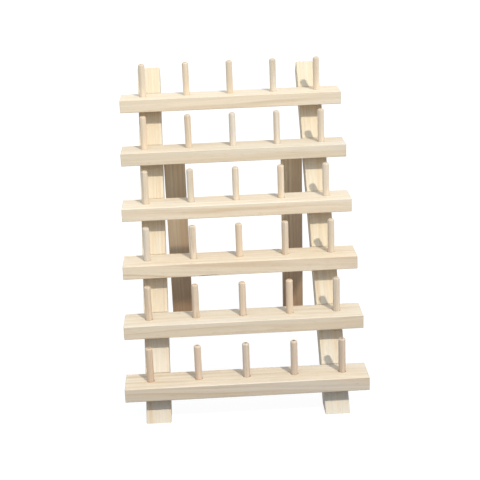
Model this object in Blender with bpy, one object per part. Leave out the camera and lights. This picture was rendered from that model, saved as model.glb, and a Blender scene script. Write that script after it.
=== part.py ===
"""Folding wooden spool rack: stepped rails of pegs on two leaning uprights, with two fold-out back legs.

Metres, +Z up. The rails run along X, the pegs point up and the uprights lean back towards +Y.
The origin is on the floor, under the middle of the open rack's box.
"""

import math

import bmesh
import bpy
from mathutils import Matrix

# Rails: flat slats, listed from the top row down
ROWS = 6
RAIL_LENGTH = 0.240
RAIL_DEPTH = 0.0355
RAIL_HEIGHT = 0.014
RAIL_STEP = 0.0635  # from rail to rail, measured up the uprights

# Pegs: round dowels glued into blind holes in the rails
PEGS_PER_ROW = 5
PEG_DIAMETER = 0.007
PEG_HEIGHT = 0.0355  # above the rail
PEG_FLOOR = 0.004  # wood left under the hole
PEG_END_MARGIN = 0.025  # from the rail's end to the middle of the end peg
PEG_CHAMFER = 0.0005
PEG_DOME = 0.0018  # height of the rounded tip

# Uprights: square-edged bars with a stair notch for each rail
LEAN = math.radians(39.0)  # from the vertical
UPRIGHT_WIDTH = 0.0245
UPRIGHT_DEPTH = 0.020
UPRIGHT_INSET = 0.019  # from the rail's end to the upright's outer face
FOOT_TO_RAIL = 0.051  # up the front face, from the floor to the lowest rail's top
HEAD_ABOVE_RAIL = 0.033  # up the front face, from the highest rail's top to the end

# Legs: thinner bars just inside the uprights, each on its own pivot behind the second rail
PIVOT_ROW = 1
LEG_WIDTH = 0.023
LEG_LEAN = math.radians(7.0)  # from the vertical, when open
LEG_TOP_LEAST = 0.008  # from the pivot to the leg's top end; more if the washers need it

# Hardware
BOLT_DIAMETER = 0.005
BOLT_HEAD_DIAMETER = 0.0095
BOLT_HEAD_HEIGHT = 0.0033
BOLT_HEAD_SIDE = 0.0009  # straight side below the domed top
BOLT_CHAMFER = 0.0008
BOLT_END = 0.0015  # thread that stands out of the nut
WASHER_DIAMETER = 0.0115
WASHER_THICKNESS = 0.001
NUT_WIDTH = 0.008  # across the flats
NUT_HEIGHT = 0.005
SCREW_DIAMETER = 0.0035
SCREW_HEAD_DIAMETER = 0.007
SCREW_LENGTH = 0.025
SCREW_POINT = 0.005  # length of the tapered tip

# Clearances
REST_GAP = 0.0003  # between pieces that touch
GLUE_GAP = 0.0002  # round a peg in its hole
LEG_GAP = 0.0005  # between a leg and its upright
FOLD_GAP = 0.0005  # between a folded leg and the rails' back corners
BOLT_GAP = 0.0002  # round a bolt in its hole
BAR_EASING = 0.0008  # planed-off edge of every bar
OVERCUT = 0.005  # how far a cutter runs past the wood

PEG_SEGMENTS = 16
METAL_SEGMENTS = 16
DOME_STEPS = 3
NUT_SIDES = 6
NUT_SIDE_STEPS = 4
SHARP_ANGLE = math.radians(40)
WELD = 1e-6

# Worked-out sizes
NOTCH_DEPTH = RAIL_HEIGHT * math.sin(LEAN)  # how deep a rail's back corner sits in the upright
LEG_DEPTH = UPRIGHT_DEPTH - NOTCH_DEPTH - FOLD_GAP
WASHER_CLEARANCE = WASHER_DIAMETER / 2 + LEG_GAP  # from the pivot to the rail's back
LEG_TOP = max(LEG_TOP_LEAST, (WASHER_CLEARANCE - LEG_DEPTH / 2 * math.cos(LEG_LEAN)) / math.sin(LEG_LEAN))
PIVOT_DEPTH = UPRIGHT_DEPTH - LEG_DEPTH / 2  # behind the front face, so a folded leg ends flush
UPRIGHT_LENGTH = FOOT_TO_RAIL + (ROWS - 1) * RAIL_STEP + HEAD_ABOVE_RAIL
UPRIGHT_X = RAIL_LENGTH / 2 - UPRIGHT_INSET - UPRIGHT_WIDTH / 2
LEG_X = UPRIGHT_X - UPRIGHT_WIDTH / 2 - LEG_GAP - LEG_WIDTH / 2
PEG_PITCH = (RAIL_LENGTH - 2 * PEG_END_MARGIN) / (PEGS_PER_ROW - 1)
PEG_SEAT = RAIL_HEIGHT - PEG_FLOOR


def up_slope(row):
    """How far up the uprights' front face a rail's top lies."""
    return FOOT_TO_RAIL + (ROWS - 1 - row) * RAIL_STEP


def on_slope(up, behind, foot_y=0.0):
    """(y, z) of a point so far up the uprights' front face and so far behind it."""
    return (
        foot_y + up * math.sin(LEAN) + behind * math.cos(LEAN),
        up * math.cos(LEAN) - behind * math.sin(LEAN),
    )


def pivot_up():
    """How far up the slope the pivot lies, so that an open leg's top corner bears on its rail's back."""
    corner_reach = LEG_TOP * math.sin(LEG_LEAN) + LEG_DEPTH / 2 * math.cos(LEG_LEAN)
    behind_rail = REST_GAP + corner_reach
    return up_slope(PIVOT_ROW) + (behind_rail - PIVOT_DEPTH * math.cos(LEAN)) / math.sin(LEAN)


def foot_offset():
    """The y of the uprights' front edge on the floor that puts the origin under the middle of the box."""
    front = on_slope(up_slope(ROWS - 1), 0)[0] - RAIL_DEPTH
    pivot_y, pivot_z = on_slope(pivot_up(), PIVOT_DEPTH)
    leg_back = pivot_y + pivot_z * math.tan(LEG_LEAN) + LEG_DEPTH / 2 / math.cos(LEG_LEAN)
    head_back = on_slope(UPRIGHT_LENGTH, UPRIGHT_DEPTH)[0]
    return -(front + max(leg_back, head_back)) / 2


FOOT_Y = foot_offset()
PIVOT_Y, PIVOT_Z = on_slope(pivot_up(), PIVOT_DEPTH, FOOT_Y)
LEG_LENGTH = PIVOT_Z / math.cos(LEG_LEAN)  # from the pivot to the floor


def clear_scene():
    for old in list(bpy.data.objects):
        bpy.data.objects.remove(old, do_unlink=True)


def principled(name, colour, roughness, metallic=0.0):
    material = bpy.data.materials.new(name)
    material.use_nodes = True
    shader = material.node_tree.nodes["Principled BSDF"]
    shader.inputs["Base Color"].default_value = (*colour, 1.0)
    shader.inputs["Roughness"].default_value = roughness
    shader.inputs["Metallic"].default_value = metallic
    material.diffuse_color = (*colour, 1.0)
    return material


def placed(name, mesh, parent=None, location=(0, 0, 0), rotation=(0, 0, 0)):
    piece = bpy.data.objects.new(name, mesh)
    bpy.context.scene.collection.objects.link(piece)
    piece.parent = parent
    piece.location = location
    piece.rotation_euler = rotation
    return piece


def finished_mesh(name, body, material=None):
    bmesh.ops.recalc_face_normals(body, faces=body.faces[:])
    mesh = bpy.data.meshes.new(name)
    body.to_mesh(mesh)
    body.free()
    if material:
        mesh.materials.append(material)
    return mesh


def add_box(body, low, high):
    """A box between two corners. Returns its vertices."""
    size = [b - a for a, b in zip(low, high)]
    middle = [(a + b) / 2 for a, b in zip(low, high)]
    matrix = Matrix.Translation(middle) @ Matrix.Diagonal((*size, 1.0))
    return bmesh.ops.create_cube(body, size=1.0, matrix=matrix)["verts"]


def bar_mesh(name, low, high, material):
    """A bar with every edge eased."""
    body = bmesh.new()
    add_box(body, low, high)
    bmesh.ops.bevel(body, geom=body.edges[:], offset=BAR_EASING, segments=1, affect="EDGES")
    return finished_mesh(name, body, material)


def add_turned(body, profile, segments, matrix):
    """A body of revolution about its own Z, from (radius, height) points, moved by matrix."""
    corners = [body.verts.new((radius, 0, height)) for radius, height in profile]
    edges = [body.edges.new(pair) for pair in zip(corners, corners[1:])]
    bmesh.ops.spin(
        body,
        geom=corners + edges,
        cent=(0, 0, 0),
        axis=(0, 0, 1),
        angle=2 * math.pi,
        steps=segments,
        use_merge=True,
    )
    made = [vert for vert in body.verts if not vert.tag]
    bmesh.ops.remove_doubles(body, verts=made, dist=WELD)
    made = [vert for vert in body.verts if not vert.tag]
    bmesh.ops.transform(body, matrix=matrix, verts=made)
    for vert in made:
        vert.tag = True


def turned_mesh(name, profile, segments, material=None, places=(Matrix.Identity(4),)):
    body = bmesh.new()
    for matrix in places:
        add_turned(body, profile, segments, matrix)
    mesh = finished_mesh(name, body, material)
    mesh.shade_smooth()
    mesh.set_sharp_from_angle(angle=SHARP_ANGLE)
    return mesh


def domed(radius, base, rise):
    """Profile points of a domed end, from its rim at height base to the middle of its top."""
    angles = [math.pi / 2 * step / DOME_STEPS for step in range(DOME_STEPS)]
    arc = [(radius * math.cos(angle), base + rise * math.sin(angle)) for angle in angles]
    return arc + [(0, base + rise)]


def cutter(name, mesh, parent):
    tool = placed(name, mesh, parent)
    tool.hide_render = True
    tool.display_type = "WIRE"
    return tool


def cut(piece, tools):
    for tool in tools:
        modifier = piece.modifiers.new(tool.name, "BOOLEAN")
        modifier.operation = "DIFFERENCE"
        modifier.object = tool


def rail_corner(row):
    """(y, z) of a rail's back top edge, which lies in the uprights' front face."""
    return on_slope(up_slope(row), 0, FOOT_Y)


def peg_places():
    """(row, peg number, x, y, z) of each peg, at the rail's top."""
    for row in range(ROWS):
        y, z = rail_corner(row)
        for number in range(PEGS_PER_ROW):
            x = -RAIL_LENGTH / 2 + PEG_END_MARGIN + number * PEG_PITCH
            yield row, number, x, y - RAIL_DEPTH / 2, z


def screw_places():
    """(row, side, matrix) of each rail screw: square to the upright's back, into the rail's underside."""
    ledge_middle = RAIL_HEIGHT * (1 / math.cos(LEAN) + math.cos(LEAN)) / 2
    outward = Matrix.Rotation(-(math.pi / 2 + LEAN), 4, "X")
    for row in range(ROWS):
        y, z = on_slope(up_slope(row) - ledge_middle, UPRIGHT_DEPTH, FOOT_Y)
        for side in (-1, 1):
            yield row, side, Matrix.Translation((side * UPRIGHT_X, y, z)) @ outward


def peg_drill(root):
    radius = PEG_DIAMETER / 2 + GLUE_GAP
    profile = [(0, -PEG_SEAT - REST_GAP), (radius, -PEG_SEAT - REST_GAP), (radius, OVERCUT), (0, OVERCUT)]
    places = [Matrix.Translation((x, y, z)) for _, _, x, y, z in peg_places()]
    return cutter("peg_drill", turned_mesh("peg_drill", profile, PEG_SEGMENTS, places=places), root)


def screw_profile(grow, overrun):
    """From the point up to the head's top, at height 0 on the upright's back face."""
    shank = SCREW_DIAMETER / 2 + grow
    head = SCREW_HEAD_DIAMETER / 2 + grow
    cone = SCREW_HEAD_DIAMETER / 2 - SCREW_DIAMETER / 2
    profile = [
        (0, -SCREW_LENGTH - grow),
        (shank, -SCREW_LENGTH + SCREW_POINT),
        (shank, -cone - grow),
        (head, 0),
    ]
    if overrun:
        profile.append((head, overrun))
    return profile + [(0, overrun)]


def screw_drill(root):
    places = [matrix for _, _, matrix in screw_places()]
    mesh = turned_mesh("screw_drill", screw_profile(REST_GAP, OVERCUT), METAL_SEGMENTS, places=places)
    return cutter("screw_drill", mesh, root)


def pivot_drill(root):
    radius = BOLT_DIAMETER / 2 + BOLT_GAP
    reach = UPRIGHT_X + UPRIGHT_WIDTH / 2 + OVERCUT
    place = Matrix.Translation((0, PIVOT_Y, PIVOT_Z)) @ Matrix.Rotation(math.pi / 2, 4, "Y")
    profile = [(0, -reach), (radius, -reach), (radius, reach), (0, reach)]
    return cutter("pivot_drill", turned_mesh("pivot_drill", profile, METAL_SEGMENTS, places=[place]), root)


def notch_saw(root):
    """The stair notches: each rail's own section, grown by the gap and run out past the front face."""
    body = bmesh.new()
    reach = RAIL_LENGTH / 2
    for row in range(ROWS):
        y, z = rail_corner(row)
        low = (-reach, y - RAIL_DEPTH, z - RAIL_HEIGHT - REST_GAP)
        add_box(body, low, (reach, y + REST_GAP, z + OVERCUT))
    return cutter("notch_saw", finished_mesh("notch_saw", body), root)


def floor_saw(root):
    """Everything below the floor, which cuts the feet level."""
    reach = 2 * UPRIGHT_LENGTH
    body = bmesh.new()
    add_box(body, (-reach, -reach, -reach), (reach, reach, 0))
    return cutter("floor_saw", finished_mesh("floor_saw", body), root)


def make_uprights(root, wood, tools):
    half = UPRIGHT_WIDTH / 2
    below = OVERCUT + UPRIGHT_DEPTH * math.tan(LEAN)
    mesh = bar_mesh("upright", (-half, 0, -below), (half, UPRIGHT_DEPTH, UPRIGHT_LENGTH), wood)
    for name, side in (("left_upright", -1), ("right_upright", 1)):
        bar = placed(name, mesh, root, (side * UPRIGHT_X, FOOT_Y, 0), (-LEAN, 0, 0))
        cut(bar, tools)


def make_legs(root, wood, tools):
    half = LEG_WIDTH / 2
    below = LEG_LENGTH + OVERCUT + LEG_DEPTH * math.tan(LEG_LEAN)
    mesh = bar_mesh("leg", (-half, -LEG_DEPTH / 2, -below), (half, LEG_DEPTH / 2, LEG_TOP), wood)
    for name, side in (("left_leg", -1), ("right_leg", 1)):
        leg = placed(name, mesh, root, (side * LEG_X, PIVOT_Y, PIVOT_Z), (LEG_LEAN, 0, 0))
        cut(leg, tools)


def make_rails(root, wood, tools):
    mesh = bar_mesh("rail", (-RAIL_LENGTH / 2, -RAIL_DEPTH, -RAIL_HEIGHT), (RAIL_LENGTH / 2, 0, 0), wood)
    for row in range(ROWS):
        rail = placed(f"rail_{row + 1}", mesh, root, (0, *rail_corner(row)))
        cut(rail, tools)


def make_pegs(root, wood):
    radius = PEG_DIAMETER / 2
    profile = [
        (0, -PEG_SEAT),
        (radius - PEG_CHAMFER, -PEG_SEAT),
        (radius, -PEG_SEAT + PEG_CHAMFER),
    ]
    mesh = turned_mesh("peg", profile + domed(radius, PEG_HEIGHT - PEG_DOME, PEG_DOME), PEG_SEGMENTS, wood)
    for row, number, x, y, z in peg_places():
        placed(f"peg_{row + 1}_{number + 1}", mesh, root, (x, y, z))


def make_screws(root, steel):
    mesh = turned_mesh("rail_screw", screw_profile(0.0, 0.0), METAL_SEGMENTS, steel)
    for row, side, matrix in screw_places():
        name = f"{'left' if side < 0 else 'right'}_screw_{row + 1}"
        placed(name, mesh, root, matrix.translation, matrix.to_euler())


def make_pivots(root, steel):
    """Each pivot is a bolt from outside through upright and leg, with two washers and a lock nut.

    Heights run along the bolt, inwards from the upright's outer face.
    """
    washer_inner = BOLT_DIAMETER / 2 + BOLT_GAP
    washer_outer = WASHER_DIAMETER / 2
    washer = turned_mesh(
        "washer",
        [
            (washer_inner, 0),
            (washer_outer, 0),
            (washer_outer, WASHER_THICKNESS),
            (washer_inner, WASHER_THICKNESS),
            (washer_inner, 0),
        ],
        METAL_SEGMENTS,
        steel,
    )
    head_washer_at = -REST_GAP - WASHER_THICKNESS
    head_at = head_washer_at - REST_GAP
    nut_washer_at = UPRIGHT_WIDTH + LEG_GAP + LEG_WIDTH + REST_GAP
    nut_at = nut_washer_at + WASHER_THICKNESS + REST_GAP
    head = BOLT_HEAD_DIAMETER / 2
    shank = BOLT_DIAMETER / 2
    end = nut_at + NUT_HEIGHT + BOLT_END
    head_top = domed(head, head_at - BOLT_HEAD_SIDE, BOLT_HEAD_SIDE - BOLT_HEAD_HEIGHT)
    bolt = turned_mesh(
        "pivot_bolt",
        head_top[::-1]
        + [
            (head, head_at),
            (shank, head_at),
            (shank, end - BOLT_CHAMFER),
            (shank - BOLT_CHAMFER, end),
            (0, end),
        ],
        METAL_SEGMENTS,
        steel,
    )
    nut = nut_mesh(steel)
    outer = UPRIGHT_X + UPRIGHT_WIDTH / 2
    for name, side in (("left", -1), ("right", 1)):
        pivot = placed(f"{name}_pivot", None, root, (side * outer, PIVOT_Y, PIVOT_Z), (0, -side * math.pi / 2, 0))
        placed(f"{name}_pivot_bolt", bolt, pivot)
        placed(f"{name}_head_washer", washer, pivot, (0, 0, head_washer_at))
        placed(f"{name}_nut_washer", washer, pivot, (0, 0, nut_washer_at))
        placed(f"{name}_lock_nut", nut, pivot, (0, 0, nut_at))


def nut_mesh(steel):
    """A hexagon prism with a round bore: six flat sides bridged to the bore's ring of points."""
    bore = BOLT_DIAMETER / 2 + BOLT_GAP
    corner = NUT_WIDTH / 2 / math.cos(math.pi / NUT_SIDES)
    steps = NUT_SIDES * NUT_SIDE_STEPS
    body = bmesh.new()
    rings = []
    for height in (0, NUT_HEIGHT):
        inner, outer = [], []
        for step in range(steps):
            angle = 2 * math.pi * step / steps
            from_middle = angle % (2 * math.pi / NUT_SIDES) - math.pi / NUT_SIDES
            reach = corner * math.cos(math.pi / NUT_SIDES) / math.cos(from_middle)
            across, upward = math.cos(angle), math.sin(angle)
            inner.append(body.verts.new((bore * across, bore * upward, height)))
            outer.append(body.verts.new((reach * across, reach * upward, height)))
        rings += [inner, outer]
    low_in, low_out, high_in, high_out = rings
    for first, second in ((low_in, low_out), (low_out, high_out), (high_out, high_in), (high_in, low_in)):
        for step in range(steps):
            after = (step + 1) % steps
            body.faces.new((first[step], first[after], second[after], second[step]))
    return finished_mesh("lock_nut", body, steel)


def main():
    clear_scene()
    rail_wood = principled("rail_wood", (0.80, 0.64, 0.44), 0.55)
    upright_wood = principled("upright_wood", (0.82, 0.62, 0.40), 0.58)
    leg_wood = principled("leg_wood", (0.74, 0.56, 0.37), 0.60)
    peg_wood = principled("peg_wood", (0.80, 0.60, 0.38), 0.50)
    steel = principled("zinc_steel", (0.62, 0.63, 0.64), 0.32, 1.0)

    rack = placed("rack", None)
    notches, floor = notch_saw(rack), floor_saw(rack)
    pegs, screws, pivot = peg_drill(rack), screw_drill(rack), pivot_drill(rack)
    make_uprights(rack, upright_wood, (notches, floor, screws, pivot))
    make_legs(rack, leg_wood, (floor, pivot))
    make_rails(rack, rail_wood, (pegs, screws))
    make_pegs(rack, peg_wood)
    make_screws(rack, steel)
    make_pivots(rack, steel)


main()
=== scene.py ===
import math
import random

import bmesh
import bpy
from mathutils import Matrix, Vector


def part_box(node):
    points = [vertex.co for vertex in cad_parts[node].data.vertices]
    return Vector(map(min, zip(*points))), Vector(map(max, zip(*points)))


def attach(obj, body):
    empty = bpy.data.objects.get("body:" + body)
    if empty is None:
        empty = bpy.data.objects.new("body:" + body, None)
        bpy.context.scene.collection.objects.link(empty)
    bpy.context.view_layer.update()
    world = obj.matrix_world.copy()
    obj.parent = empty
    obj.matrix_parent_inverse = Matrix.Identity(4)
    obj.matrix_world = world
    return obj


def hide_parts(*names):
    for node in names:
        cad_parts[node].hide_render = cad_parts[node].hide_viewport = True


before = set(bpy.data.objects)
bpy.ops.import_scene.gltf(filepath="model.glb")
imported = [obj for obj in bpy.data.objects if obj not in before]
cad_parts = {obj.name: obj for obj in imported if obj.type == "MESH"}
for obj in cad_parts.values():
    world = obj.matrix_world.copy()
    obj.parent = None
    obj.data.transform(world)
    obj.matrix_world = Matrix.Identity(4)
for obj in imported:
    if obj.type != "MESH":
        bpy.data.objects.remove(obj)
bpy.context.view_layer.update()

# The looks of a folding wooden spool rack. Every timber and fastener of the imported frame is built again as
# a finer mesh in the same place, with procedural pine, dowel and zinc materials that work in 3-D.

# Driving dimensions of the frame that its boxes don't give, in metres and radians
ROWS = 6
PEGS_PER_ROW = 5
SIDES = (("left", -1), ("right", 1))
UPRIGHT_LEAN = math.radians(39.0)  # from the vertical, towards the back
UPRIGHT_DEPTH = 0.020
LEG_LEAN = math.radians(7.0)
LEG_TOP = 0.008  # from the pivot to the leg's top end
BOLT_RADIUS = 0.0025
BOLT_THREAD_LENGTH = 0.012
BOLT_THREAD_PITCH = 0.0008
SCREW_RADIUS = 0.00175
SCREW_HEAD_RADIUS = 0.0035
SCREW_LENGTH = 0.025
SCREW_POINT = 0.005

# Threads, recesses and turned edges, which only this model has
BOLT_THREAD_DEPTH = 0.00035
BOLT_TIP_INSET = 0.0007
BOLT_RECESS = (0.0052, 0.0019, 0.0011)  # width, depth and blade thickness
BOLT_RECESS_SINK = 0.0004  # from the top of the dome to the recess's own zero
BOLT_HEAD_SIDE = 0.0009
SCREW_THREAD_PITCH = 0.0014
SCREW_THREAD_DEPTH = 0.0005
SCREW_THREAD_END = -0.009  # from the head's face
SCREW_NECK_START = -0.0085
SCREW_NECK_SCALE = 0.8
SCREW_HEAD_RIM = 0.0003
SCREW_RECESS = (0.0042, 0.0018, 0.0009)
METAL_EDGE = 0.0002
COLLAR_START = 0.68  # of the nut's height
COLLAR_SCALE = 0.9  # of the nut's size across flats
COLLAR_ROUNDING = 0.0008
SHOULDER_RISE = 0.0003  # from the collar's start up to where the shoulder meets it
SHOULDER_FALL = 0.0006  # and down to where the shoulder runs out past the corners
NUT_CHAMFER = 0.0005
BORE_CHAMFER = 0.0004
RING_GROOVE = 0.0006
RING_REACH = 0.0005  # faces of the bore this near its radius are the nylon's
SQUARE = ((-1, -1), (1, -1), (1, 1), (-1, 1))

# Gaps and edges
REST_GAP = 0.0003
FIT_GAP = 0.0002  # round a peg or a bolt in its hole
EDGE_RADIUS = 0.0009
END_EDGE_RADIUS = 0.0006
PEG_DOME = 0.0018
PEG_PIT_RADIUS = 0.0009  # the lathe centre's mark in a peg's tip
LOWEST_PIT_SCALE = 1.4  # the lowest row's marks are larger
PEG_SHOULDER = 0.0020  # how far in the tip's rounding reaches
PEG_FOOT_CHAMFER = 0.0005
HOLE_SINK = 0.0003
PIVOT_REACH = 0.04  # how far the pivot's hole tool runs to each side
OVERCUT = 0.005
MILLIMETRE = 0.001
SMOOTH_BELOW = math.radians(35)
RAIL_RUN_OUT = 3.0  # the grain's furthest slope along a rail, in degrees
RAIL_PITH_TURNS = (-20, 20)  # where the pith lies from a rail, in degrees about the grain
WANE_ROW = 4
WANE_AT = 0.088  # from the rail's left end
WANE_SIZE = (0.020, 0.0034, 0.0034)  # half sizes of the scoop's ellipsoid

# Painted shade: how dark the wood is painted at the floor, against the top row's, where less light reaches
RAIL_FOOT_SHADE = (0.73, 0.70, 0.69)
UPRIGHT_FOOT_SHADE = (0.80, 0.81, 0.86)
LEG_FOOT_SHADE = (0.38, 0.25, 0.16)
PEG_FOOT_SHADE = (0.66, 0.58, 0.56)
TOP_SHADE_SPARED = 0.7  # how much less of that reaches faces that look up
# How dark the painted shade in the pegs' tip pits is, on the other rows and on the lowest
PIT_PAINTED_SHADE = 0.35
LOWEST_PIT_PAINTED_SHADE = 0.95

# How closely the wood's figure repeats in a metre: across the grain, across it the other way, along it
WANDER_SCALE = (14, 14, 3.5)
WANDER_REACH = (0.016, 0.016, 0.0)  # metres at most, half to each side
UNEVEN_SCALE = (60, 60, 60)
YEARLY_SCALE = (150, 150, 150)
FIBRE_SCALE = (1900, 1900, 42)
STREAK_SCALE = (420, 420, 7)
BAND_SCALE = (95, 95, 3.2)
CAST_SCALE = (52, 52, 5)
FLECK_SCALE = (1100, 1100, 110)
SLOW_SCALE = (330, 330, 330)
PATCHY_SCALE = (60, 60, 9)
PORE_SCALE = (2600, 2600, 400)
RING_STOPS = ((0.0, 0.0), (0.35, 0.1), (0.7, 0.6), (0.86, 1.0), (0.95, 0.6), (1.0, 0.0))
FLECK_COLOUR = (0.45, 0.27, 0.13)
END_GRAIN_TINT = (0.86, 0.76, 0.65)
# Bark's colour on the wane, also used for the painted shade in the pegs' tip pits
BARK_AND_PIT_SHADE_COLOUR = (0.085, 0.06, 0.045)

# The same for the metal's and the nylon's finish
TURNING_SCALE = (5200, 5200, 60)
CLOUD_SCALE = (420, 420, 420)
SCRATCH_SCALE = (2600, 520, 900)
NYLON_SCALE = (700, 700, 700)

# Camera and light
CAMERA_PLACE = Vector((-0.0352, -1.1135, 0.5047))
CAMERA_AZIMUTH = math.radians(-1.93)
CAMERA_ELEVATION = math.radians(17.98)
CAMERA_ROLL = math.radians(2.14)
CAMERA_LENS = 82.5
CAMERA_SENSOR = 36.0
TO_KEY = Vector((0.319, -0.568, 0.759))  # towards the key light
KEY_STRENGTH = 2.42
KEY_COLOUR = (1.0, 0.95, 0.86)
KEY_SPREAD = math.radians(2.5)
SKY_LIGHT = (0.80, 0.89, 1.02)
GROUND_LIGHT = (0.20, 0.185, 0.17)
GROUND_BELOW = -0.3  # the height of a direction, where the ground's light gives way to the sky's
SKY_ABOVE = 0.1
FLOOR_HALF = 20.0
FLOOR_DROP = 0.0001
FLOOR_COLOUR = (0.12, 0.12, 0.12)
FLOOR_GLOW = 0.93

chance = random.Random(21)


# ---- Places, read from the frame ----


def box_middle(node):
    low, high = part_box(node)
    return (low + high) / 2


def rail_corner(row):
    """(y, z) of a rail's back top edge, which lies in the uprights' front face."""
    _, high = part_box(f"rail_{row}")
    return high.y, high.z


def slope_frame(side):
    """Places the upright's own axes: X across, Y into its depth, Z up its length, from its foot's front."""
    name = "left_upright" if side < 0 else "right_upright"
    y, z = rail_corner(1)
    foot_y = y - z * math.tan(UPRIGHT_LEAN)
    return Matrix.Translation((box_middle(name).x, foot_y, 0)) @ Matrix.Rotation(-UPRIGHT_LEAN, 4, "X")


def leg_frame(side):
    """Places the leg's own axes: X across, Y into its depth, Z up its length, from the pivot."""
    name = "left" if side < 0 else "right"
    pivot = box_middle(f"{name}_pivot_bolt")
    across = box_middle(f"{name}_leg").x
    return Matrix.Translation((across, pivot.y, pivot.z)) @ Matrix.Rotation(LEG_LEAN, 4, "X")


def screw_frame(side, row):
    """Z points out of the upright's back face, from the screw head's face."""
    name = f"{'left' if side < 0 else 'right'}_screw_{row}"
    low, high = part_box(name)
    outward = Matrix.Rotation(-(math.pi / 2 + UPRIGHT_LEAN), 4, "X")
    # The head's lowest rim point is the box's lowest point, and its back rim point the box's furthest back
    head_y = high.y - SCREW_HEAD_RADIUS * math.sin(UPRIGHT_LEAN)
    head_z = low.z + SCREW_HEAD_RADIUS * math.cos(UPRIGHT_LEAN)
    return Matrix.Translation(((low.x + high.x) / 2, head_y, head_z)) @ outward


# ---- Materials ----


def new_material(name):
    material = bpy.data.materials.new(name)
    material.use_nodes = True
    tree = material.node_tree
    return material, tree, tree.nodes["Principled BSDF"]


def add_node(tree, kind, inputs=None, **settings):
    """Adds a node. inputs maps a socket's name or number to a value or to the socket that feeds it."""
    made = tree.nodes.new(kind)
    for name, value in settings.items():
        setattr(made, name, value)
    for name, value in (inputs or {}).items():
        if isinstance(value, bpy.types.NodeSocket):
            tree.links.new(value, made.inputs[name])
        else:
            made.inputs[name].default_value = value
    return made


def maths(tree, operation, first, second=0.0):
    return add_node(tree, "ShaderNodeMath", {0: first, 1: second}, operation=operation).outputs[0]


def scaled(tree, vector, factors):
    return add_node(tree, "ShaderNodeVectorMath", {0: vector, 1: factors}, operation="MULTIPLY").outputs[0]


def noise(tree, vector, detail=2.0, roughness=0.5):
    inputs = {"Vector": vector, "Scale": 1.0, "Detail": detail, "Roughness": roughness}
    return add_node(tree, "ShaderNodeTexNoise", inputs).outputs["Fac"]


def ramp(tree, fac, stops):
    made = add_node(tree, "ShaderNodeValToRGB", {0: fac})
    elements = made.color_ramp.elements
    while len(elements) < len(stops):
        elements.new(0.5)
    for element, (position, value) in zip(elements, stops):
        element.position = position
        element.color = (value, value, value, 1.0)
    return made.outputs["Color"]


def mix(tree, fac, first, second, blend="MIX"):
    """Sockets 6 and 7 are the two colours of a Mix node set to RGBA, and 2 is the result."""
    made = add_node(tree, "ShaderNodeMix", {0: fac, 6: first, 7: second}, data_type="RGBA", blend_type=blend)
    return made.outputs[2]


def spread(tree, value, low, high):
    """Maps 0..1 to low..high."""
    made = add_node(tree, "ShaderNodeMapRange", {0: value, 3: low, 4: high})
    return made.outputs[0]


def add_relief(tree, shader, height, strength, distance):
    """Gives a surface its fine relief: a height of 1 stands for the distance."""
    bump = add_node(tree, "ShaderNodeBump", {"Strength": strength, "Distance": distance, "Height": height})
    tree.links.new(bump.outputs[0], shader.inputs["Normal"])


def attribute(tree, name, output="Fac"):
    return add_node(tree, "ShaderNodeAttribute", attribute_name=name).outputs[output]


def mask(tree, value, start, end, share):
    """Grows from 0 to share as the value goes from start to end."""
    return maths(tree, "MULTIPLY", ramp(tree, value, ((start, 0.0), (end, 1.0))), share)


def growth_rings(tree, place, rings, ring_pitch):
    """The distance from the pith, bent by slow wander along the trunk and cut into yearly steps.

    Gives the bent place, the part of it across the grain, and how hard the wood is there.
    """
    wander_inputs = {"Vector": scaled(tree, place, WANDER_SCALE), "Scale": 1.0, "Detail": 2.0}
    wander = add_node(tree, "ShaderNodeTexNoise", wander_inputs).outputs["Color"]
    centred = add_node(tree, "ShaderNodeVectorMath", {0: wander, 1: (0.5, 0.5, 0.5)}, operation="SUBTRACT")
    shift = scaled(tree, centred.outputs[0], WANDER_REACH)
    bent = add_node(tree, "ShaderNodeVectorMath", {0: place, 1: shift}, operation="ADD").outputs[0]
    flat = scaled(tree, bent, (1, 1, 0))
    distance = add_node(tree, "ShaderNodeVectorMath", {0: flat}, operation="LENGTH").outputs["Value"]
    years = maths(tree, "DIVIDE", distance, ring_pitch)
    uneven = noise(tree, scaled(tree, flat, UNEVEN_SCALE), 1.0)
    years = maths(tree, "ADD", years, spread(tree, uneven, -0.9, 0.9))
    ring = ramp(tree, maths(tree, "FRACT", years), RING_STOPS)
    yearly = noise(tree, scaled(tree, flat, YEARLY_SCALE), 0.0)
    hard = maths(tree, "MULTIPLY", ring, spread(tree, yearly, 0.35 * rings, 1.5 * rings))
    return bent, flat, hard


def slow_growth(tree, place, flat):
    """Broad warm lines a few years apart, where slow growth packed the hard wood close."""
    lines = noise(tree, scaled(tree, flat, SLOW_SCALE), 2.0, 0.6)
    slow = ramp(tree, lines, ((0.50, 0.0), (0.66, 1.0)))
    patchy = ramp(tree, noise(tree, scaled(tree, place, PATCHY_SCALE), 1.0), ((0.38, 0.25), (0.62, 1.0)))
    return maths(tree, "MULTIPLY", maths(tree, "MULTIPLY", slow, patchy), 0.8)


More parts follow.
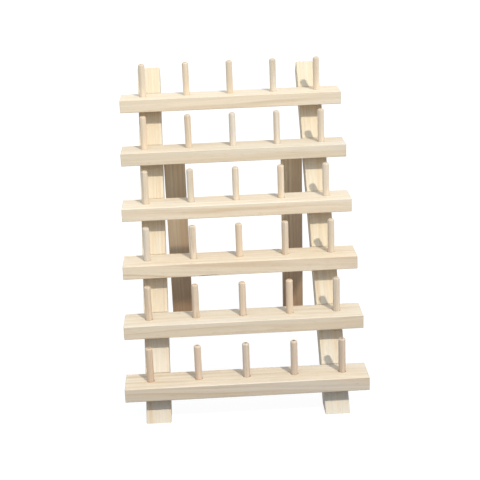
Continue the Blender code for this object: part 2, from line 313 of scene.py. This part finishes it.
def marks_and_painted_light(tree, place, colour, pale):
    """Adds what the piece's marks say: end grain, rubbed edges with a painted highlight, the random tone with
    painted shade towards the floor, and bark on the wane with painted shade in the pegs' pits.

    End grain soaks up more light, with open pores, and eased edges are painted a little paler, both as rubbed
    wear and as a painted highlight.
    """
    pore_noise = noise(tree, scaled(tree, place, PORE_SCALE), 2.0, 0.6)
    pores = ramp(tree, pore_noise, ((0.35, 0.62), (0.62, 1.0)))
    open_grain = mix(tree, 1.0, pores, (*END_GRAIN_TINT, 1), "MULTIPLY")
    ends = mix(tree, 1.0, colour, open_grain, "MULTIPLY")
    colour = mix(tree, maths(tree, "MULTIPLY", attribute(tree, "end_grain"), 0.85), colour, ends)
    # Eased edges a little paler: rubbed wear and a painted highlight
    colour = mix(tree, maths(tree, "MULTIPLY", attribute(tree, "edge"), 0.1), colour, (*pale, 1))
    # Painted shade towards the floor, with each piece's random tone
    colour = mix(tree, 1.0, colour, attribute(tree, "tone_and_shade", "Vector"), "MULTIPLY")
    # Bark on the wane, and painted shade in the pegs' tip pits
    return mix(tree, attribute(tree, "bark_and_pit_shade"), colour, (*BARK_AND_PIT_SHADE_COLOUR, 1))


def wood(name, early, late, blush, pale, rings, ring_pitch, blush_share, pale_share, roughness):
    """Solid timber. The "log" attribute gives each point's place in its tree, with Z along the grain.

    early and late are the soft and the hard wood of a growth ring, blush and pale the wide bands of warmer
    and whiter wood. rings says how strongly the growth rings show.
    """
    material, tree, shader = new_material(name)
    place = attribute(tree, "log", "Vector")
    bent, flat, hard = growth_rings(tree, place, rings, ring_pitch)

    # Fibres and bands, all drawn out along the grain
    fibre = noise(tree, scaled(tree, place, FIBRE_SCALE), 3.0, 0.6)
    streak = noise(tree, scaled(tree, place, STREAK_SCALE), 2.0, 0.55)
    band = noise(tree, scaled(tree, bent, BAND_SCALE), 1.0)
    cast = noise(tree, scaled(tree, bent, CAST_SCALE), 1.0)
    fleck = noise(tree, scaled(tree, place, FLECK_SCALE), 1.0, 0.4)

    colour = mix(tree, hard, (*early, 1), (*late, 1))
    colour = mix(tree, slow_growth(tree, place, flat), colour, (*late, 1))
    colour = mix(tree, mask(tree, band, 0.42, 0.66, blush_share), colour, (*blush, 1))
    colour = mix(tree, mask(tree, cast, 0.48, 0.68, pale_share), colour, (*pale, 1))
    tone = maths(tree, "MULTIPLY", spread(tree, fibre, 0.86, 1.12), spread(tree, streak, 0.88, 1.1))
    grey = add_node(tree, "ShaderNodeCombineColor", {0: tone, 1: tone, 2: tone}).outputs[0]
    colour = mix(tree, 1.0, colour, grey, "MULTIPLY")
    colour = mix(tree, mask(tree, fleck, 0.66, 0.74, 0.22), colour, (*FLECK_COLOUR, 1))
    tree.links.new(marks_and_painted_light(tree, place, colour, pale), shader.inputs["Base Color"])

    rough = maths(tree, "ADD", spread(tree, fibre, -0.07, 0.07), maths(tree, "MULTIPLY", hard, -0.1))
    end_rough = maths(tree, "MULTIPLY", attribute(tree, "end_grain"), 0.12)
    rough = maths(tree, "ADD", maths(tree, "ADD", rough, roughness), end_rough)
    tree.links.new(rough, shader.inputs["Roughness"])
    height = maths(tree, "ADD", maths(tree, "MULTIPLY", fibre, 0.6), maths(tree, "MULTIPLY", hard, 0.5))
    height = maths(tree, "ADD", height, maths(tree, "MULTIPLY", streak, 0.5))
    add_relief(tree, shader, height, strength=0.55, distance=0.00022)
    shader.inputs["Specular IOR Level"].default_value = 0.32
    return material


def rail_wood():
    """Pale planed pine, with weak growth rings and wide soft bands."""
    return wood(
        "pine_rail",
        early=(0.78, 0.685, 0.53),
        late=(0.64, 0.50, 0.33),
        blush=(0.76, 0.63, 0.455),
        pale=(0.785, 0.715, 0.60),
        rings=0.65,
        ring_pitch=0.0068,
        blush_share=0.55,
        pale_share=0.6,
        roughness=0.62,
    )


def upright_wood():
    """Yellower pine."""
    return wood(
        "pine_upright",
        early=(0.735, 0.635, 0.46),
        late=(0.64, 0.47, 0.29),
        blush=(0.76, 0.615, 0.42),
        pale=(0.75, 0.68, 0.55),
        rings=0.45,
        ring_pitch=0.0060,
        blush_share=0.75,
        pale_share=0.75,
        roughness=0.64,
    )


def leg_wood():
    """Browner pine from rougher stock, with closer and stronger rings; painted shade darkens it towards the
    floor.
    """
    return wood(
        "pine_leg",
        early=(0.86, 0.70, 0.47),
        late=(0.60, 0.42, 0.25),
        blush=(0.76, 0.57, 0.37),
        pale=(0.84, 0.72, 0.53),
        rings=0.8,
        ring_pitch=0.0046,
        blush_share=0.7,
        pale_share=0.5,
        roughness=0.66,
    )


def peg_wood():
    """Turned birch dowel, with very close rings."""
    return wood(
        "birch_dowel",
        early=(0.80, 0.685, 0.52),
        late=(0.66, 0.52, 0.37),
        blush=(0.76, 0.60, 0.42),
        pale=(0.80, 0.72, 0.60),
        rings=0.75,
        ring_pitch=0.0022,
        blush_share=0.6,
        pale_share=0.55,
        roughness=0.58,
    )


def zinc():
    """Bright zinc plate: turned rings round each fastener's axis, faint clouding, and fine scratches."""
    material, tree, shader = new_material("zinc_plate")
    lathe = attribute(tree, "lathe", "Vector")
    solid = add_node(tree, "ShaderNodeTexCoord").outputs["Object"]
    turning = noise(tree, scaled(tree, lathe, TURNING_SCALE), 2.0, 0.6)
    cloud = noise(tree, scaled(tree, solid, CLOUD_SCALE), 3.0, 0.6)
    scratch = ramp(tree, noise(tree, scaled(tree, solid, SCRATCH_SCALE), 2.0), ((0.6, 0.0), (0.68, 1.0)))
    colour = mix(tree, cloud, (0.50, 0.52, 0.55, 1), (0.72, 0.71, 0.66, 1))
    colour = mix(tree, maths(tree, "MULTIPLY", scratch, 0.3), colour, (0.86, 0.87, 0.88, 1))
    tree.links.new(colour, shader.inputs["Base Color"])
    shader.inputs["Metallic"].default_value = 1.0
    rough = maths(tree, "ADD", spread(tree, cloud, 0.22, 0.40), spread(tree, turning, -0.05, 0.08))
    tree.links.new(rough, shader.inputs["Roughness"])
    height = maths(tree, "ADD", maths(tree, "MULTIPLY", turning, 0.6), maths(tree, "MULTIPLY", scratch, 0.4))
    add_relief(tree, shader, height, strength=0.4, distance=0.00006)
    return material


def nylon():
    """The locking ring inside the lock nuts."""
    material, tree, shader = new_material("nylon_ring")
    solid = add_node(tree, "ShaderNodeTexCoord").outputs["Object"]
    cloud = noise(tree, scaled(tree, solid, NYLON_SCALE), 2.0)
    colour = mix(tree, cloud, (0.50, 0.58, 0.66, 1), (0.66, 0.72, 0.77, 1))
    tree.links.new(colour, shader.inputs["Base Color"])
    tree.links.new(spread(tree, cloud, 0.38, 0.52), shader.inputs["Roughness"])
    add_relief(tree, shader, cloud, strength=0.2, distance=0.00005)
    return material


# ---- Mesh tools ----


def as_object(name, body):
    bmesh.ops.recalc_face_normals(body, faces=body.faces[:])
    mesh = bpy.data.meshes.new(name)
    body.to_mesh(mesh)
    body.free()
    made = bpy.data.objects.new(name, mesh)
    bpy.context.scene.collection.objects.link(made)
    return made


def block(low, high):
    body = bmesh.new()
    size = [b - a for a, b in zip(low, high)]
    middle = [(a + b) / 2 for a, b in zip(low, high)]
    bmesh.ops.create_cube(body, size=1.0, matrix=Matrix.Translation(middle) @ Matrix.Diagonal((*size, 1.0)))
    return body


def ease(body, edges, radius, segments, mark):
    """Rounds the edges, and marks the faces that this makes."""
    made = bmesh.ops.bevel(body, geom=edges, offset=radius, segments=segments, profile=0.5, affect="EDGES")
    for face in made["faces"]:
        face[mark] = 1.0


def lies_at(edge, axis, places):
    return any(all(abs(vert.co[axis] - place) < 1e-6 for vert in edge.verts) for place in places)


def rounded_bar(name, low, high, long_axis):
    """A planed bar: the four long edges rounded, the ends' edges eased less, with an "edge" mark on both."""
    body = block(low, high)
    mark = body.faces.layers.float.new("edge")
    long_edges = [e for e in body.edges if abs((e.verts[0].co - e.verts[1].co).normalized()[long_axis]) > 0.9]
    ease(body, long_edges, EDGE_RADIUS, 4, mark)
    ends = (low[long_axis], high[long_axis])
    ease(body, [e for e in body.edges if lies_at(e, long_axis, ends)], END_EDGE_RADIUS, 2, mark)
    return as_object(name, body)


def box_tool(low, high):
    return as_object("box_tool", block(low, high))


def turned(name, profile, segments, matrix=Matrix.Identity(4)):
    """A body of revolution about Z, from (radius, height) points, then moved by matrix."""
    body = bmesh.new()
    corners = [body.verts.new((radius, 0, height)) for radius, height in profile]
    edges = [body.edges.new(pair) for pair in zip(corners, corners[1:])]
    turn = {"cent": (0, 0, 0), "axis": (0, 0, 1), "angle": 2 * math.pi, "steps": segments, "use_merge": True}
    bmesh.ops.spin(body, geom=corners + edges, **turn)
    bmesh.ops.remove_doubles(body, verts=body.verts[:], dist=1e-6)
    bmesh.ops.transform(body, matrix=matrix, verts=body.verts[:])
    return as_object(name, body)


def arc(centre, radii, start, end, steps):
    """Points of an elliptical arc in the (radius, height) plane, angles in degrees."""
    angles = [math.radians(start + (end - start) * step / steps) for step in range(steps + 1)]
    return [(centre[0] + radii[0] * math.cos(a), centre[1] + radii[1] * math.sin(a)) for a in angles]


def carve(piece, tools):
    """Cuts the tools out of the piece for good, and removes them.

    The cutting is done in millimetres, because the solver loses surfaces this small when they are in metres.
    """
    for part in (piece, *tools):
        part.data.transform(Matrix.Scale(1 / MILLIMETRE, 4))
    for tool in tools:
        modifier = piece.modifiers.new(tool.name, "BOOLEAN")
        modifier.operation = "DIFFERENCE"
        modifier.object = tool
    bpy.context.view_layer.update()
    graph = bpy.context.evaluated_depsgraph_get()
    mesh = bpy.data.meshes.new_from_object(piece.evaluated_get(graph))
    mesh.transform(Matrix.Scale(MILLIMETRE, 4))
    piece.modifiers.clear()
    piece.data = mesh
    for tool in tools:
        bpy.data.objects.remove(tool)


def shade(piece, sharp=SMOOTH_BELOW):
    piece.data.shade_smooth()
    piece.data.set_sharp_from_angle(angle=sharp)
    weighted = piece.modifiers.new("even_faces", "WEIGHTED_NORMAL")
    weighted.keep_sharp = True
    weighted.weight = 90


def paint_shade_by_height(mesh, foot_shade):
    """Writes painted shade: the wood darkened towards the foot's tone at the floor, plain at the top row,
    less on faces that look up.

    Every piece is also a little warmer or cooler, and a little lighter or darker, than the next.
    """
    warmth, light = chance.uniform(-0.03, 0.03), chance.uniform(-0.05, 0.02)
    _, top = rail_corner(1)
    shade_tones = mesh.attributes.new("tone_and_shade", "FLOAT_VECTOR", "CORNER")
    for face in mesh.polygons:
        reach = 1 - TOP_SHADE_SPARED * max(0.0, face.normal.z)
        for loop in face.loop_indices:
            height = mesh.vertices[mesh.loops[loop].vertex_index].co.z
            fade = reach * min(1.0, max(0.0, 1 - height / top)) ** 2
            red, green, blue = (1 - fade * (1 - foot) + light for foot in foot_shade)
            shade_tones.data[loop].vector = (red * (1 + warmth), green, blue * (1 - warmth))


def mark_darkened_faces(piece, amount, is_darkened):
    """Writes how dark each face is made, by a test of its centre: bark on the wane, painted shade in the
    pegs' pits.
    """
    marks = piece.data.attributes.new("bark_and_pit_shade", "FLOAT", "FACE")
    for face, value in zip(piece.data.polygons, marks.data):
        value.value = amount if is_darkened(face.center) else 0.0


def cut_from_log(piece, to_local, grain_axis, foot_shade, turn_range=(0, 360), run_out=1.6):
    """Writes each point's place in the tree, its painted shade and random tone, and how squarely each face
    cuts across the grain.

    Every piece comes from its own tree, at its own distance from the pith, a little off the trunk's line.
    turn_range is the pith's direction about the grain and run_out the grain's furthest slope, in degrees.
    """
    mesh = piece.data
    turn = Matrix.Rotation(math.radians(chance.uniform(*turn_range)), 3, "Z")
    slope = Matrix.Rotation(math.radians(chance.uniform(-run_out, run_out)), 3, "X")
    offset = Vector((chance.uniform(0.03, 0.075), chance.uniform(-0.02, 0.02), chance.uniform(1, 9)))
    order = {"X": (1, 2, 0), "Y": (2, 0, 1), "Z": (0, 1, 2)}[grain_axis]
    log = mesh.attributes.new("log", "FLOAT_VECTOR", "POINT")
    for vert, value in zip(mesh.vertices, log.data):
        local = to_local @ vert.co
        along_z = Vector([local[axis] for axis in order])
        value.vector = turn @ slope @ along_z + offset
    # Painted shade, darker towards the floor, and a random tone for the piece
    paint_shade_by_height(mesh, foot_shade)
    ends = mesh.attributes.new("end_grain", "FLOAT", "FACE")
    rotation = to_local.to_3x3()
    for face, value in zip(mesh.polygons, ends.data):
        value.value = abs((rotation @ face.normal)[order[2]]) ** 2
    if "edge" not in mesh.attributes:
        mesh.attributes.new("edge", "FLOAT", "FACE")


def lathe_marks(piece, to_local):
    """Writes (distance from the fastener's axis, height along it, angle round it) for the turned finish."""
    marks = piece.data.attributes.new("lathe", "FLOAT_VECTOR", "POINT")
    for vert, value in zip(piece.data.vertices, marks.data):
        local = to_local @ vert.co
        value.vector = (math.hypot(local.x, local.y), local.z, math.atan2(local.y, local.x) * 0.001)


def finish_piece(piece, node, body, material):
    if not piece.data.materials:
        piece.data.materials.append(material)
    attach(piece, body)
    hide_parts(node)


# ---- Timber ----


def peg_size():
    low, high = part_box("peg_1_1")
    return (high.x - low.x) / 2, low.z, high.z


def peg_hole(row, number):
    """The blind hole under a peg, with a slight countersink at the rail's top."""
    radius = peg_size()[0] + FIT_GAP
    low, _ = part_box(f"peg_{row}_{number}")
    centre = box_middle(f"peg_{row}_{number}")
    floor = low.z - REST_GAP
    top = rail_corner(row)[1]
    profile = [(0, floor), (radius, floor), (radius, top - HOLE_SINK)]
    profile += [(radius + HOLE_SINK + OVERCUT, top + OVERCUT), (0, top + OVERCUT)]
    return turned("hole_tool", profile, 40, Matrix.Translation((centre.x, centre.y, 0)))


def screw_tool(side, row):
    """The screw's own shape, grown by the gap and run out past the head."""
    shank, head = SCREW_RADIUS + REST_GAP, SCREW_HEAD_RADIUS + REST_GAP
    profile = [
        (0, -SCREW_LENGTH - REST_GAP),
        (shank, -SCREW_LENGTH + SCREW_POINT),
        (shank, -(SCREW_HEAD_RADIUS - SCREW_RADIUS) - REST_GAP),
        (head, 0),
        (head, OVERCUT),
        (0, OVERCUT),
    ]
    return turned("screw_tool", profile, 32, screw_frame(side, row))


def pivot_tool(side):
    name = "left" if side < 0 else "right"
    middle = box_middle(f"{name}_pivot_bolt")
    radius = BOLT_RADIUS + FIT_GAP
    profile = [(0, -PIVOT_REACH), (radius, -PIVOT_REACH), (radius, PIVOT_REACH), (0, PIVOT_REACH)]
    across = Matrix.Translation(middle) @ Matrix.Rotation(math.pi / 2, 4, "Y")
    return turned("pivot_tool", profile, 40, across)


def wane_place(row):
    """The unit ball that the wane's scoop is, with its middle just outside the rail's lower front edge."""
    low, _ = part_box(f"rail_{row}")
    _, depth, height = WANE_SIZE
    middle = (low.x + WANE_AT, low.y - depth / 2, low.z - height / 2)
    return Matrix.Translation(middle) @ Matrix.Diagonal((*WANE_SIZE, 1.0))


def wane_tool(row):
    """A long shallow scoop out of the lower front edge, where the plank ran out to the tree's bark."""
    body = bmesh.new()
    bmesh.ops.create_uvsphere(body, u_segments=32, v_segments=24, radius=1.0, matrix=wane_place(row))
    return as_object("wane_tool", body)


def make_rails(material):
    for row in range(1, ROWS + 1):
        node = f"rail_{row}"
        low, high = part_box(node)
        rail = rounded_bar(f"{node}.fine", low, high, 0)
        tools = [peg_hole(row, number) for number in range(1, PEGS_PER_ROW + 1)]
        tools += [screw_tool(side, row) for _, side in SIDES]
        if row == WANE_ROW:
            tools.append(wane_tool(row))
        carve(rail, tools)
        if row == WANE_ROW:
            to_scoop = wane_place(row).inverted()
            mark_darkened_faces(rail, 1.0, lambda centre: (to_scoop @ centre).length < 1.001)
        to_middle = Matrix.Translation(-(low + high) / 2)
        cut_from_log(rail, to_middle, "X", RAIL_FOOT_SHADE, RAIL_PITH_TURNS, RAIL_RUN_OUT)
        shade(rail)
        finish_piece(rail, node, "frame", material)


def make_uprights(material):
    for name, side in SIDES:
        node = f"{name}_upright"
        low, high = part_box(node)
        half = (high.x - low.x) / 2
        place = slope_frame(side)
        # The eased top edge stands a little lower than a sharp one, so the bar is that much longer
        length = high.z / math.cos(UPRIGHT_LEAN) + END_EDGE_RADIUS * math.sin(UPRIGHT_LEAN) / 2
        below = OVERCUT + UPRIGHT_DEPTH * math.tan(UPRIGHT_LEAN)
        bar = rounded_bar(f"{node}.fine", (-half, 0, -below), (half, UPRIGHT_DEPTH, length), 2)
        bar.data.transform(place)
        reach = 2 * half
        tools = [box_tool((low.x - reach, -1, -1), (high.x + reach, 1, 0))]
        for row in range(1, ROWS + 1):
            y, z = rail_corner(row)
            rail_low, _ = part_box(f"rail_{row}")
            notch_low = (low.x - reach, rail_low.y, rail_low.z - REST_GAP)
            tools.append(box_tool(notch_low, (high.x + reach, y + REST_GAP, z + OVERCUT)))
            tools.append(screw_tool(side, row))
        tools.append(pivot_tool(side))
        carve(bar, tools)
        cut_from_log(bar, place.inverted(), "Z", UPRIGHT_FOOT_SHADE)
        shade(bar)
        finish_piece(bar, node, "frame", material)


def leg_depth(side):
    """From the leg's box. The foot is cut level, so its back corner is the box's furthest back point."""
    name = "left" if side < 0 else "right"
    pivot = box_middle(f"{name}_pivot_bolt")
    _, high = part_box(f"{name}_leg")
    return 2 * (high.y - pivot.y - pivot.z * math.tan(LEG_LEAN)) * math.cos(LEG_LEAN)


def make_legs(material):
    for name, side in SIDES:
        node = f"{name}_leg"
        low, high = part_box(node)
        half = (high.x - low.x) / 2
        place = leg_frame(side)
        depth = leg_depth(side)
        below = place.translation.z / math.cos(LEG_LEAN) + OVERCUT + depth * math.tan(LEG_LEAN)
        bar = rounded_bar(f"{node}.fine", (-half, -depth / 2, -below), (half, depth / 2, LEG_TOP), 2)
        bar.data.transform(place)
        carve(bar, [box_tool((low.x - half, -1, -1), (high.x + half, 1, 0)), pivot_tool(side)])
        cut_from_log(bar, place.inverted(), "Z", LEG_FOOT_SHADE)
        shade(bar)
        finish_piece(bar, node, node, material)


def make_pegs(material):
    radius, low_z, high_z = peg_size()
    height = high_z - low_z
    rim = height - PEG_DOME
    for row in range(1, ROWS + 1):
        for number in range(1, PEGS_PER_ROW + 1):
            node = f"peg_{row}_{number}"
            centre = box_middle(node)
            low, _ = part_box(node)
            pit_radius = PEG_PIT_RADIUS * (LOWEST_PIT_SCALE if row == ROWS else 1)
            depth = pit_radius * chance.uniform(0.4, 0.9)
            profile = [(0, 0), (radius - PEG_FOOT_CHAMFER, 0), (radius, PEG_FOOT_CHAMFER), (radius, rim)]
            profile += arc((radius - PEG_SHOULDER, rim), (PEG_SHOULDER, PEG_DOME), 12, 90, 7)
            profile += [(pit_radius, height), (pit_radius * 0.6, height - depth * 0.8), (0, height - depth)]
            place = Matrix.Translation((centre.x, centre.y, low.z))
            peg = turned(f"{node}.fine", profile, 48, place)
            cut_from_log(peg, place.inverted(), "Z", PEG_FOOT_SHADE)
            to_tip = (place @ Matrix.Translation((0, 0, height))).inverted()
            # Painted shade in the tip's pit, darkest on the lowest row
            pit_shade_amount = (LOWEST_PIT_PAINTED_SHADE if row == ROWS else PIT_PAINTED_SHADE) * chance.uniform(0.6, 1.0)
            mark_darkened_faces(peg, pit_shade_amount, lambda centre: (to_tip @ centre).length < pit_radius)
            shade(peg, math.radians(50))
            finish_piece(peg, node, "frame", material)


# ---- Fasteners ----


def cross_recess(size, matrix):
    """Two crossed tapered blades, for the driver's recess in a head whose face is at Z 0."""
    width, depth, thickness = size
    tools = []
    for turn in (0, math.pi / 2):
        body = bmesh.new()
        top = [body.verts.new((x * width / 2, y * thickness / 2, depth / 4)) for x, y in SQUARE]
        tip = [body.verts.new((x * width / 6, y * thickness / 3, -depth)) for x, y in SQUARE]
        for step in range(4):
            body.faces.new((top[step], top[step - 3], tip[step - 3], tip[step]))
        body.faces.new(top)
        body.faces.new(tip[::-1])
        bmesh.ops.transform(body, matrix=matrix @ Matrix.Rotation(turn, 4, "Z"), verts=body.verts[:])
        tools.append(as_object("recess_tool", body))
    return tools


def threads(radius, start, end, pitch, depth):
    """Profile points of thread crests and roots from start to end, both roots."""
    turns = max(1, round(abs(end - start) / pitch))
    step = (end - start) / turns
    points = [(radius - depth, start)]
    for turn in range(turns):
        points.append((radius, start + step * (turn + 0.5)))
        points.append((radius - depth, start + step * (turn + 1)))
    return points


def make_screws(material):
    cone = SCREW_HEAD_RADIUS - SCREW_RADIUS
    rim = SCREW_HEAD_RIM
    neck = SCREW_RADIUS * SCREW_NECK_SCALE
    thread_start = SCREW_POINT - SCREW_LENGTH
    for name, side in SIDES:
        for row in range(1, ROWS + 1):
            node = f"{name}_screw_{row}"
            place = screw_frame(side, row)
            profile = [(0, -SCREW_LENGTH)]
            profile += threads(
                SCREW_RADIUS, thread_start, SCREW_THREAD_END, SCREW_THREAD_PITCH, SCREW_THREAD_DEPTH
            )
            profile += [(neck, SCREW_NECK_START), (neck, -cone - rim)]
            profile += [(SCREW_HEAD_RADIUS, -rim), (SCREW_HEAD_RADIUS, -rim / 3)]
            profile += [(SCREW_HEAD_RADIUS - rim / 3, 0), (0, 0)]
            screw = turned(f"{node}.fine", profile, 40, place)
            turn = Matrix.Rotation(chance.uniform(0, math.pi / 2), 4, "Z")
            carve(screw, cross_recess(SCREW_RECESS, place @ turn))
            lathe_marks(screw, place.inverted())
            shade(screw)
            finish_piece(screw, node, "frame", material)


def across_frame(node, side):
    """Z points inwards along the pivot bolt, from the outer end of the node's box."""
    low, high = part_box(node)
    x = low.x if side < 0 else high.x
    middle = box_middle(node)
    return Matrix.Translation((x, middle.y, middle.z)) @ Matrix.Rotation(-side * math.pi / 2, 4, "Y")


def make_bolt(name, side, material):
    node = f"{name}_pivot_bolt"
    place = across_frame(node, side)
    low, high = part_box(node)
    length = high.x - low.x
    head_radius = (high.y - low.y) / 2
    washer_low, washer_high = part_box(f"{name}_head_washer")
    washer_outer = washer_low.x if side < 0 else washer_high.x
    head_height = abs(washer_outer - (low.x if side < 0 else high.x)) - REST_GAP
    dome = head_height - BOLT_HEAD_SIDE
    profile = arc((0, dome), (head_radius, -dome), 90, 0, 10)
    profile += [(head_radius, head_height - METAL_EDGE), (head_radius - METAL_EDGE, head_height)]
    thread_start = length - BOLT_THREAD_LENGTH
    half_pitch = BOLT_THREAD_PITCH / 2
    profile += [(BOLT_RADIUS, head_height), (BOLT_RADIUS, thread_start - half_pitch)]
    profile += threads(BOLT_RADIUS, thread_start, length - half_pitch, BOLT_THREAD_PITCH, BOLT_THREAD_DEPTH)
    profile += [(BOLT_RADIUS - BOLT_TIP_INSET, length), (0, length)]
    bolt = turned(f"{node}.fine", profile, 48, place)
    flip = place @ Matrix.Translation((0, 0, BOLT_RECESS_SINK)) @ Matrix.Rotation(math.pi, 4, "X")
    carve(bolt, cross_recess(BOLT_RECESS, flip))
    lathe_marks(bolt, place.inverted())
    shade(bolt)
    finish_piece(bolt, node, "frame", material)


def make_washer(node, side, material):
    low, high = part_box(node)
    outer, thick = (high.y - low.y) / 2, high.x - low.x
    inner = BOLT_RADIUS + FIT_GAP
    place = across_frame(node, side)
    profile = [(inner, METAL_EDGE), (inner + METAL_EDGE, 0)]
    profile += arc((outer - METAL_EDGE, METAL_EDGE), (METAL_EDGE, METAL_EDGE), -90, 0, 4)
    profile += arc((outer - METAL_EDGE, thick - METAL_EDGE), (METAL_EDGE, METAL_EDGE), 0, 90, 4)
    profile += [(inner + METAL_EDGE, thick), (inner, thick - METAL_EDGE), (inner, METAL_EDGE)]
    washer = turned(f"{node}.fine", profile, 48, place)
    lathe_marks(washer, place.inverted())
    shade(washer)
    finish_piece(washer, node, "frame", material)


def hexagon_bar(name, across_corners, height, phase, place):
    """A sharp hexagonal bar along Z from 0, turned about it by phase, then moved by place."""
    matrix = Matrix.Translation((0, 0, height / 2)) @ Matrix.Rotation(phase, 4, "Z")
    size = {"radius1": across_corners / 2, "radius2": across_corners / 2, "depth": height}
    body = bmesh.new()
    bmesh.ops.create_cone(body, cap_ends=True, segments=6, matrix=matrix, **size)
    bmesh.ops.transform(body, matrix=place, verts=body.verts[:])
    return as_object(name, body)


def nut_outlines(across_corners, height, collar_at, bore):
    """What is turned off a nut: the chamfer at its seat, the shoulder round its collar, and its bore."""
    far = across_corners
    flat = across_corners * math.cos(math.pi / 6) / 2
    collar = flat * COLLAR_SCALE
    inner, top = collar - COLLAR_ROUNDING, height + OVERCUT
    seat = [(flat, -OVERCUT), (far, -OVERCUT), (far, NUT_CHAMFER * 2), (flat, 0)]
    seat.append(seat[0])
    shoulder = arc((inner, height - COLLAR_ROUNDING), (COLLAR_ROUNDING, COLLAR_ROUNDING), 90, 0, 6)
    shoulder += [(collar, collar_at + SHOULDER_RISE), (far, collar_at - SHOULDER_FALL)]
    shoulder += [(far, top), (inner, top)]
    shoulder.append(shoulder[0])
    groove = bore + RING_GROOVE
    hole = [(0, -OVERCUT), (bore + BORE_CHAMFER, -OVERCUT), (bore + BORE_CHAMFER, 0), (bore, BORE_CHAMFER)]
    hole += [(bore, height - RING_GROOVE), (groove, height - RING_GROOVE), (groove, top), (0, top)]
    return seat, shoulder, hole


def make_nut(name, side, metal, plastic):
    """A hexagon nut whose corners are turned off at the seat, with a round collar that holds a nylon ring."""
    node = f"{name}_lock_nut"
    low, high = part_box(node)
    height = high.x - low.x
    across_corners = max(high.y - low.y, high.z - low.z)
    collar_at = height * COLLAR_START
    bore = BOLT_RADIUS + FIT_GAP
    place = across_frame(node, side)
    phase = 0 if high.z - low.z > high.y - low.y else math.pi / 6  # so that the corners fill the node's box
    nut = hexagon_bar(f"{node}.fine", across_corners, height, phase, place)
    outlines = nut_outlines(across_corners, height, collar_at, bore)
    carve(nut, [turned("nut_tool", outline, 48, place) for outline in outlines])
    nut.data.materials.clear()
    nut.data.materials.append(metal)
    nut.data.materials.append(plastic)
    inward = place.inverted()
    for face in nut.data.polygons:
        local = inward @ face.center
        inside = math.hypot(local.x, local.y) < bore + RING_REACH
        face.material_index = 1 if inside and local.z > collar_at else 0
    lathe_marks(nut, inward)
    shade(nut)
    finish_piece(nut, node, "frame", metal)


# ---- Studio ----


def make_camera():
    data = bpy.data.cameras.new("camera")
    data.lens = CAMERA_LENS
    data.sensor_width = CAMERA_SENSOR
    camera = bpy.data.objects.new("camera", data)
    turn = Matrix.Rotation(CAMERA_AZIMUTH, 4, "Z")
    tilt = Matrix.Rotation(math.pi / 2 - CAMERA_ELEVATION, 4, "X")
    roll = Matrix.Rotation(-CAMERA_ROLL, 4, "Z")
    camera.matrix_world = Matrix.Translation(CAMERA_PLACE) @ turn @ tilt @ roll
    bpy.context.scene.collection.objects.link(camera)
    bpy.context.scene.camera = camera


def make_light():
    data = bpy.data.lights.new("key", "SUN")
    data.energy = KEY_STRENGTH
    data.angle = KEY_SPREAD
    data.color = KEY_COLOUR
    key = bpy.data.objects.new("key", data)
    key.rotation_mode = "QUATERNION"
    key.rotation_quaternion = TO_KEY.to_track_quat("Z", "Y")
    bpy.context.scene.collection.objects.link(key)
    world = bpy.data.worlds.new("studio")
    world.use_nodes = True
    tree = world.node_tree
    direction = add_node(tree, "ShaderNodeTexCoord").outputs["Generated"]
    height = add_node(tree, "ShaderNodeSeparateXYZ", {0: direction}).outputs["Z"]
    share = add_node(tree, "ShaderNodeMapRange", {0: height, 1: GROUND_BELOW, 2: SKY_ABOVE}).outputs[0]
    soft = mix(tree, share, (*GROUND_LIGHT, 1), (*SKY_LIGHT, 1))
    tree.links.new(soft, tree.nodes["Background"].inputs["Color"])
    bpy.context.scene.world = world
    bpy.context.scene.view_settings.view_transform = "Standard"


def make_floor():
    """A plain near-white floor, a little luminous like a light table, that throws no light on the rack."""
    body = bmesh.new()
    bmesh.ops.create_grid(body, x_segments=1, y_segments=1, size=FLOOR_HALF)
    floor = as_object("floor", body)
    floor.location.z = -FLOOR_DROP
    material, _, shader = new_material("floor_white")
    shader.inputs["Base Color"].default_value = (*FLOOR_COLOUR, 1)
    shader.inputs["Roughness"].default_value = 0.9
    shader.inputs["Specular IOR Level"].default_value = 0.0
    shader.inputs["Emission Color"].default_value = (1, 1, 1, 1)
    shader.inputs["Emission Strength"].default_value = FLOOR_GLOW
    floor.data.materials.append(material)
    floor.visible_diffuse = False


def main():
    make_rails(rail_wood())
    make_uprights(upright_wood())
    make_legs(leg_wood())
    make_pegs(peg_wood())
    steel = zinc()
    ring = nylon()
    make_screws(steel)
    for name, side in SIDES:
        make_bolt(name, side, steel)
        make_washer(f"{name}_head_washer", side, steel)
        make_washer(f"{name}_nut_washer", side, steel)
        make_nut(name, side, steel, ring)
    make_floor()
    make_light()
    make_camera()


main()
